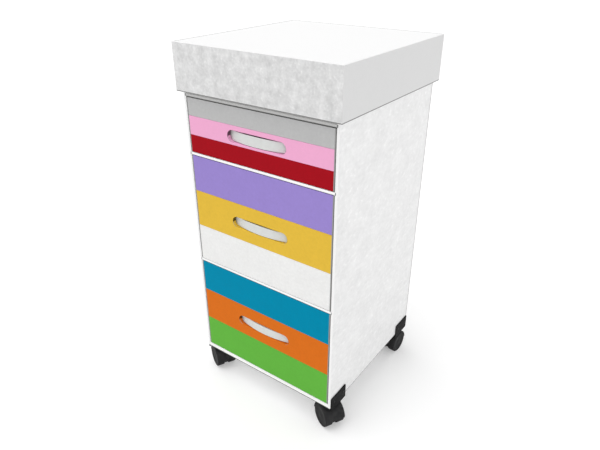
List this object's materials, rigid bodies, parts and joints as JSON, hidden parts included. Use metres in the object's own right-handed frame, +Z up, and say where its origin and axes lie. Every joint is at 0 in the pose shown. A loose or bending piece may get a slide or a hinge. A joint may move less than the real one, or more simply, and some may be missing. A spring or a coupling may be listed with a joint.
{
  "type": "drawer tower",
  "caption": "Tall cabinet of white plastic sheet with three striped drawers, a tray under a lift-off lid, and swivelling twin-wheel casters.",
  "frame": {"origin": "on the floor under the middle of the cabinet", "axes": "+Z up, the drawers open towards -Y, +X to the right seen from the front"},
  "size_m": [0.4516, 0.4328, 0.896],
  "materials": {
    "white_sheet": "satin sheet",
    "pull_strip": "satin strip",
    "black_plastic": "moulded satin",
    "bracket_black": "black powder coat",
    "wheel_black": "moulded tread",
    "steel": "plated",
    "glide": "slick strip",
    "bumper": "soft pad",
    "grey_plank": "satin sheet",
    "pink_plank": "satin sheet",
    "red_plank": "satin sheet",
    "purple_plank": "satin sheet",
    "yellow_plank": "satin sheet",
    "white_plank": "satin sheet",
    "blue_plank": "satin sheet",
    "orange_plank": "satin sheet",
    "green_plank": "satin sheet"
  },
  "bodies": {
    "cabinet": {"left_side_panel": "white_sheet", "right_side_panel": "white_sheet", "back_panel": "white_sheet", "bottom_panel": "white_sheet", "lower_shelf": "white_sheet", "upper_shelf": "white_sheet", "tray_deck": "white_sheet", "tray_front_wall": "white_sheet", "glide_strips": "glide", "rear_bumpers": "bumper", "drawer_catches": "white_sheet", "back_screws": "steel", "caster_brackets": "bracket_black", "bracket_screws": "bracket_black", "caster_stems": "steel"},
    "lid": {"lid_top": "white_sheet", "lid_front_skirt": "white_sheet", "lid_back_skirt": "white_sheet", "lid_left_skirt": "white_sheet", "lid_right_skirt": "white_sheet"},
    "upper_drawer": {"upper_drawer_top_plank": "grey_plank", "upper_drawer_middle_plank": "pink_plank", "upper_drawer_bottom_plank": "red_plank", "upper_drawer_box_front": "white_sheet", "upper_drawer_walls": "white_sheet", "upper_drawer_floor": "white_sheet", "upper_drawer_pull": "pull_strip", "upper_drawer_screws": "steel"},
    "middle_drawer": {"middle_drawer_top_plank": "purple_plank", "middle_drawer_middle_plank": "yellow_plank", "middle_drawer_bottom_plank": "white_plank", "middle_drawer_box_front": "white_sheet", "middle_drawer_walls": "white_sheet", "middle_drawer_floor": "white_sheet", "middle_drawer_pull": "pull_strip", "middle_drawer_screws": "steel"},
    "lower_drawer": {"lower_drawer_top_plank": "blue_plank", "lower_drawer_middle_plank": "orange_plank", "lower_drawer_bottom_plank": "green_plank", "lower_drawer_box_front": "white_sheet", "lower_drawer_walls": "white_sheet", "lower_drawer_floor": "white_sheet", "lower_drawer_pull": "pull_strip", "lower_drawer_screws": "steel"},
    "front_right_caster": {"front_right_hood": "black_plastic", "front_right_axle": "steel"},
    "front_right_outer_wheel": {"front_right_outer_wheel": "wheel_black"},
    "front_right_inner_wheel": {"front_right_inner_wheel": "wheel_black"},
    "front_left_caster": {"front_left_hood": "black_plastic", "front_left_axle": "steel"},
    "front_left_outer_wheel": {"front_left_outer_wheel": "wheel_black"},
    "front_left_inner_wheel": {"front_left_inner_wheel": "wheel_black"},
    "back_right_caster": {"back_right_hood": "black_plastic", "back_right_axle": "steel"},
    "back_right_outer_wheel": {"back_right_outer_wheel": "wheel_black"},
    "back_right_inner_wheel": {"back_right_inner_wheel": "wheel_black"},
    "back_left_caster": {"back_left_hood": "black_plastic", "back_left_axle": "steel"},
    "back_left_outer_wheel": {"back_left_outer_wheel": "wheel_black"},
    "back_left_inner_wheel": {"back_left_inner_wheel": "wheel_black"}
  },
  "joints": [
    {"name": "lid_lift", "type": "slide", "parent": "cabinet", "child": "lid", "axis": [0, 0, 1], "range_m": [0, 0.12]},
    {"name": "upper_drawer_slide", "type": "slide", "parent": "cabinet", "child": "upper_drawer", "axis": [0, -1, 0], "range_m": [0, 0.29]},
    {"name": "middle_drawer_slide", "type": "slide", "parent": "cabinet", "child": "middle_drawer", "axis": [0, -1, 0], "range_m": [0, 0.29]},
    {"name": "lower_drawer_slide", "type": "slide", "parent": "cabinet", "child": "lower_drawer", "axis": [0, -1, 0], "range_m": [0, 0.29]},
    {"name": "front_right_swivel", "type": "hinge", "parent": "cabinet", "child": "front_right_caster", "pos_m": [0.1795, -0.1745, 0.0735], "axis": [0, 0, 1], "continuous": true},
    {"name": "front_right_outer_spin", "type": "hinge", "parent": "front_right_caster", "child": "front_right_outer_wheel", "pos_m": [0.18396, -0.17677, 0.0305], "axis": [0.454, 0.891, 0], "continuous": true},
    {"name": "front_right_inner_spin", "type": "hinge", "parent": "front_right_caster", "child": "front_right_inner_wheel", "pos_m": [0.18396, -0.17677, 0.0305], "axis": [0.454, 0.891, 0], "continuous": true},
    {"name": "front_left_swivel", "type": "hinge", "parent": "cabinet", "child": "front_left_caster", "pos_m": [-0.1795, -0.1745, 0.0735], "axis": [0, 0, 1], "continuous": true},
    {"name": "front_left_outer_spin", "type": "hinge", "parent": "front_left_caster", "child": "front_left_outer_wheel", "pos_m": [-0.18396, -0.17223, 0.0305], "axis": [-0.454, -0.891, 0], "continuous": true},
    {"name": "front_left_inner_spin", "type": "hinge", "parent": "front_left_caster", "child": "front_left_inner_wheel", "pos_m": [-0.18396, -0.17223, 0.0305], "axis": [-0.454, -0.891, 0], "continuous": true},
    {"name": "back_right_swivel", "type": "hinge", "parent": "cabinet", "child": "back_right_caster", "pos_m": [0.1795, 0.1745, 0.0735], "axis": [0, 0, 1], "continuous": true},
    {"name": "back_right_outer_spin", "type": "hinge", "parent": "back_right_caster", "child": "back_right_outer_wheel", "pos_m": [0.17915, 0.16951, 0.0305], "axis": [0.9976, -0.0698, 0], "continuous": true},
    {"name": "back_right_inner_spin", "type": "hinge", "parent": "back_right_caster", "child": "back_right_inner_wheel", "pos_m": [0.17915, 0.16951, 0.0305], "axis": [0.9976, -0.0698, 0], "continuous": true},
    {"name": "back_left_swivel", "type": "hinge", "parent": "cabinet", "child": "back_left_caster", "pos_m": [-0.1795, 0.1745, 0.0735], "axis": [0, 0, 1], "continuous": true},
    {"name": "back_left_outer_spin", "type": "hinge", "parent": "back_left_caster", "child": "back_left_outer_wheel", "pos_m": [-0.18396, 0.17677, 0.0305], "axis": [-0.454, -0.891, 0], "continuous": true},
    {"name": "back_left_inner_spin", "type": "hinge", "parent": "back_left_caster", "child": "back_left_inner_wheel", "pos_m": [-0.18396, 0.17677, 0.0305], "axis": [-0.454, -0.891, 0], "continuous": true}
  ]
}
